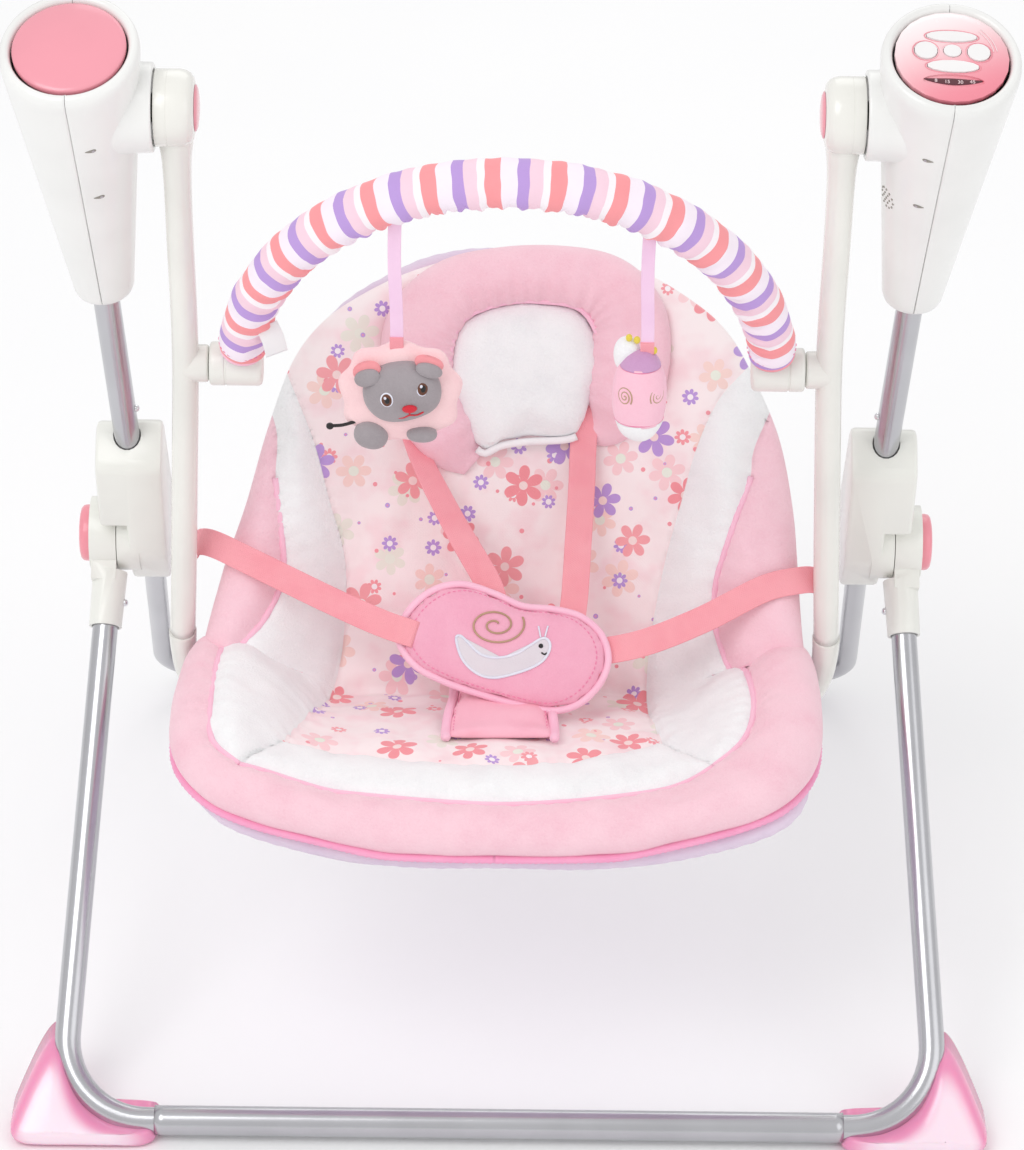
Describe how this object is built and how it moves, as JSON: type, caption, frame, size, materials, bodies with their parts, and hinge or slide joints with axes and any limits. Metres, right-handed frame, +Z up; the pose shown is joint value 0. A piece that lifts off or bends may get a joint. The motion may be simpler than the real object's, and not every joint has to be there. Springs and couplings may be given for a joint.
{
  "type": "baby swing",
  "caption": "Electric baby swing: folding tube stand, two pivot housings, padded bucket seat on swing arms, harness and toy bar.",
  "frame": {"origin": "on the floor, under the middle of the whole object's box", "axes": "+Z up, -Y the front that the child faces, +X the side of the control panel"},
  "size_m": [0.664, 0.567, 0.7352],
  "materials": {
    "white_plastic": "satin white moulding",
    "pearl_plastic": "pearl white moulding",
    "pink_plastic": "glossy pink",
    "foot_pink": "glossy translucent pink",
    "tube_metal": "metallic grey lacquer",
    "steel": "plain steel",
    "electronics": "green board",
    "black_plastic": "black moulding",
    "pink_plush": "short pink plush with a floral panel",
    "webbing": "woven coral webbing",
    "sling_cloth": "lilac woven cloth",
    "stripe_cloth": "striped cotton",
    "grey_felt": "grey felt"
  },
  "bodies": {
    "stand": {"rear_leg_left": "tube_metal", "rear_leg_right": "tube_metal", "rear_crossbar": "tube_metal", "connector_left": "white_plastic", "connector_right": "white_plastic", "fold_pin_left": "steel", "fold_pin_right": "steel", "upper_tube_left": "tube_metal", "upper_tube_right": "tube_metal", "housing_inner_left": "white_plastic", "housing_inner_right": "white_plastic", "housing_outer_left": "white_plastic", "housing_outer_right": "white_plastic", "pivot_bush_left": "black_plastic", "pivot_bush_right": "black_plastic", "disc_cap": "pink_plastic", "control_panel": "pink_plastic", "gearbox": "black_plastic", "motor": "steel", "circuit_board": "electronics", "speaker": "black_plastic", "battery_pack": "black_plastic"},
    "front_frame": {"front_leg_left": "tube_metal", "front_leg_right": "tube_metal", "front_crossbar": "tube_metal", "hinge_hub_left": "white_plastic", "hinge_hub_right": "white_plastic", "front_foot_left": "foot_pink", "front_foot_right": "foot_pink"},
    "fold_button_left": {"fold_button_left": "pink_plastic"},
    "fold_button_right": {"fold_button_right": "pink_plastic"},
    "swing": {"swing_arm_left": "pearl_plastic", "swing_arm_right": "pearl_plastic", "pivot_cap_left": "pink_plastic", "pivot_cap_right": "pink_plastic", "pivot_axle_left": "steel", "pivot_axle_right": "steel", "arm_end_left": "white_plastic", "arm_end_right": "white_plastic", "front_hoop": "tube_metal", "back_hoop": "tube_metal", "seat_pad": "pink_plush", "seat_sling": "sling_cloth", "head_pillow": "pink_plush", "shoulder_strap_left": "webbing", "shoulder_strap_right": "webbing", "waist_strap_left": "webbing", "waist_strap_right": "webbing", "belly_pad": "pink_plush"},
    "toy_bar": {"toy_bar_hub_left": "white_plastic", "toy_bar_hub_right": "white_plastic", "toy_bar_tube": "steel", "toy_bar_sleeve": "stripe_cloth"},
    "bear_toy": {"bear_toy": "grey_felt"},
    "egg_toy": {"egg_toy": "pink_plush"},
    "key_top": {"key_top": "white_plastic"},
    "key_left": {"key_left": "white_plastic"},
    "key_centre": {"key_centre": "white_plastic"},
    "key_right": {"key_right": "white_plastic"},
    "key_bottom": {"key_bottom": "white_plastic"}
  },
  "joints": [
    {"name": "front_fold", "type": "hinge", "parent": "stand", "child": "front_frame", "pos_m": [0, 0.033, 0.2905], "axis": [1, 0, 0], "range_deg": [0, 75]},
    {"name": "fold_button_left_press", "type": "slide", "parent": "front_frame", "child": "fold_button_left", "axis": [1, 0, 0], "range_m": [0, 0.004], "stiffness_N_per_m": 400},
    {"name": "fold_button_right_press", "type": "slide", "parent": "front_frame", "child": "fold_button_right", "axis": [-1, 0, 0], "range_m": [0, 0.004], "stiffness_N_per_m": 400},
    {"name": "swing_pivot", "type": "hinge", "parent": "stand", "child": "swing", "pos_m": [0, -0.064, 0.6701], "axis": [1, 0, 0], "range_deg": [-18, 18]},
    {"name": "toy_bar_tilt", "type": "hinge", "parent": "swing", "child": "toy_bar", "pos_m": [0, -0.0525, 0.478], "axis": [1, 0, 0], "range_deg": [-30, 60]},
    {"name": "bear_toy_sway", "type": "hinge", "parent": "toy_bar", "child": "bear_toy", "pos_m": [-0.068, -0.12913, 0.64234], "axis": [1, 0, 0], "range_deg": [-30, 30]},
    {"name": "egg_toy_sway", "type": "hinge", "parent": "toy_bar", "child": "egg_toy", "pos_m": [0.085, -0.12515, 0.63379], "axis": [1, 0, 0], "range_deg": [-30, 30]},
    {"name": "key_top_press", "type": "slide", "parent": "stand", "child": "key_top", "axis": [-0.043, 0.4118, -0.9103], "range_m": [0, 0.001], "stiffness_N_per_m": 300},
    {"name": "key_left_press", "type": "slide", "parent": "stand", "child": "key_left", "axis": [-0.043, 0.4118, -0.9103], "range_m": [0, 0.001], "stiffness_N_per_m": 300},
    {"name": "key_centre_press", "type": "slide", "parent": "stand", "child": "key_centre", "axis": [-0.043, 0.4118, -0.9103], "range_m": [0, 0.001], "stiffness_N_per_m": 300},
    {"name": "key_right_press", "type": "slide", "parent": "stand", "child": "key_right", "axis": [-0.043, 0.4118, -0.9103], "range_m": [0, 0.001], "stiffness_N_per_m": 300},
    {"name": "key_bottom_press", "type": "slide", "parent": "stand", "child": "key_bottom", "axis": [-0.043, 0.4118, -0.9103], "range_m": [0, 0.001], "stiffness_N_per_m": 300}
  ]
}
